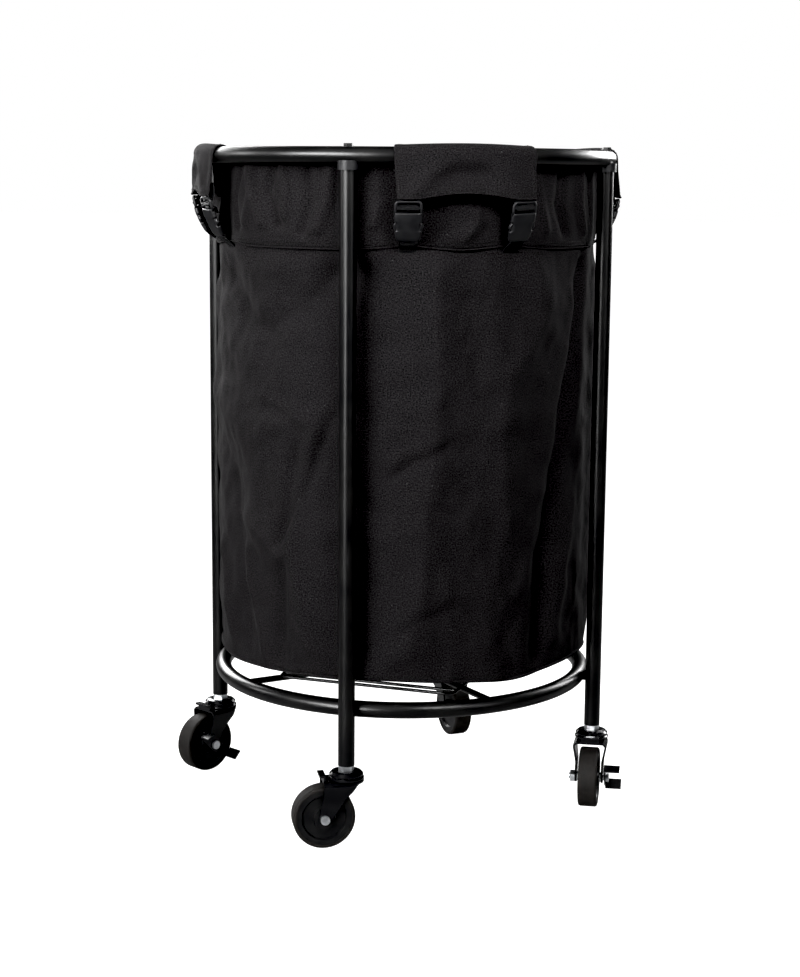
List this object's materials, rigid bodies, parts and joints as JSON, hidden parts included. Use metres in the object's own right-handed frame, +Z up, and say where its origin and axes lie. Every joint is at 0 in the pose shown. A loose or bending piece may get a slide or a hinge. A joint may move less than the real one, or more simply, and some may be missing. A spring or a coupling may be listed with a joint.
{
  "type": "laundry cart",
  "caption": "Round laundry cart: a black tube frame on swivel casters, with a cylindrical canvas bag held by flaps and buckles over the top ring.",
  "frame": {"origin": "on the floor, under the axis of the two rings", "axes": "+Z up along the ring axis; one post at -Y (front), the next at +X (right)"},
  "size_m": [0.6002, 0.5722, 0.8384],
  "materials": {
    "powder_coat": "satin black powder coat",
    "collar_plastic": "satin moulded nylon",
    "black_fastener": "black oxide",
    "bare_steel": "machined",
    "bag_canvas": "woven polyester canvas",
    "webbing": "woven webbing",
    "buckle_plastic": "satin moulded acetal",
    "zinc": "bright zinc plate",
    "caster_paint": "semi-gloss black",
    "hub_plastic": "satin moulded polypropylene",
    "tread_rubber": "matte grey rubber"
  },
  "bodies": {
    "frame": {"top_ring": "powder_coat", "lower_ring": "powder_coat", "post_front": "powder_coat", "post_right": "powder_coat", "post_back": "powder_coat", "post_left": "powder_coat", "saddle_collars": "collar_plastic", "ring_bolts": "black_fastener", "post_top_inserts": "bare_steel", "post_foot_inserts": "bare_steel", "lower_ring_spacers": "powder_coat", "cross_bar_long": "powder_coat", "cross_bar_halves": "powder_coat", "base_wire_loop": "powder_coat", "base_wire_stays": "powder_coat", "bag_wall": "bag_canvas", "bag_base": "bag_canvas", "bag_header": "bag_canvas", "flap_front": "bag_canvas", "flap_right": "bag_canvas", "flap_back": "bag_canvas", "flap_left": "bag_canvas", "hem_straps": "webbing", "seam_straps": "webbing", "buckle_ladders": "buckle_plastic", "buckle_shells": "buckle_plastic", "caster_stems": "zinc", "upper_races": "caster_paint", "race_balls": "bare_steel"},
    "swivel_front": {"fork_front": "caster_paint", "lower_race_front": "caster_paint", "axle_bolt_front": "zinc", "axle_nut_front": "zinc", "axle_sleeve_front": "zinc"},
    "wheel_front": {"wheel_hub_front": "hub_plastic", "wheel_tread_front": "tread_rubber"},
    "swivel_right": {"fork_right": "caster_paint", "lower_race_right": "caster_paint", "axle_bolt_right": "zinc", "axle_nut_right": "zinc", "axle_sleeve_right": "zinc"},
    "wheel_right": {"wheel_hub_right": "hub_plastic", "wheel_tread_right": "tread_rubber"},
    "brake_right": {"brake_lever_right": "caster_paint"},
    "swivel_back": {"fork_back": "caster_paint", "lower_race_back": "caster_paint", "axle_bolt_back": "zinc", "axle_nut_back": "zinc", "axle_sleeve_back": "zinc"},
    "wheel_back": {"wheel_hub_back": "hub_plastic", "wheel_tread_back": "tread_rubber"},
    "swivel_left": {"fork_left": "caster_paint", "lower_race_left": "caster_paint", "axle_bolt_left": "zinc", "axle_nut_left": "zinc", "axle_sleeve_left": "zinc"},
    "wheel_left": {"wheel_hub_left": "hub_plastic", "wheel_tread_left": "tread_rubber"},
    "brake_left": {"brake_lever_left": "caster_paint"}
  },
  "joints": [
    {"name": "swivel_turn_front", "type": "hinge", "parent": "frame", "child": "swivel_front", "pos_m": [0, -0.2565, 0.0877], "axis": [0, 0, 1], "continuous": true},
    {"name": "wheel_spin_front", "type": "hinge", "parent": "swivel_front", "child": "wheel_front", "pos_m": [-0.02538, -0.26833, 0.038], "axis": [0.4226, -0.9063, 0], "continuous": true},
    {"name": "swivel_turn_right", "type": "hinge", "parent": "frame", "child": "swivel_right", "pos_m": [0.2565, 0, 0.0877], "axis": [0, 0, 1], "continuous": true},
    {"name": "wheel_spin_right", "type": "hinge", "parent": "swivel_right", "child": "wheel_right", "pos_m": [0.25894, -0.02789, 0.038], "axis": [0.9962, 0.0872, 0], "continuous": true},
    {"name": "brake_press_right", "type": "hinge", "parent": "swivel_right", "child": "brake_right", "pos_m": [0.25894, -0.02789, 0.038], "axis": [-0.9962, -0.0872, 0], "range_deg": [0, 18]},
    {"name": "swivel_turn_back", "type": "hinge", "parent": "frame", "child": "swivel_back", "pos_m": [0, 0.2565, 0.0877], "axis": [0, 0, 1], "continuous": true},
    {"name": "wheel_spin_back", "type": "hinge", "parent": "swivel_back", "child": "wheel_back", "pos_m": [0.01685, 0.23414, 0.038], "axis": [0.7986, 0.6018, 0], "continuous": true},
    {"name": "swivel_turn_left", "type": "hinge", "parent": "frame", "child": "swivel_left", "pos_m": [-0.2565, 0, 0.0877], "axis": [0, 0, 1], "continuous": true},
    {"name": "wheel_spin_left", "type": "hinge", "parent": "swivel_left", "child": "wheel_left", "pos_m": [-0.2705, -0.02425, 0.038], "axis": [0.866, -0.5, 0], "continuous": true},
    {"name": "brake_press_left", "type": "hinge", "parent": "swivel_left", "child": "brake_left", "pos_m": [-0.2705, -0.02425, 0.038], "axis": [-0.866, 0.5, 0], "range_deg": [0, 18]}
  ]
}
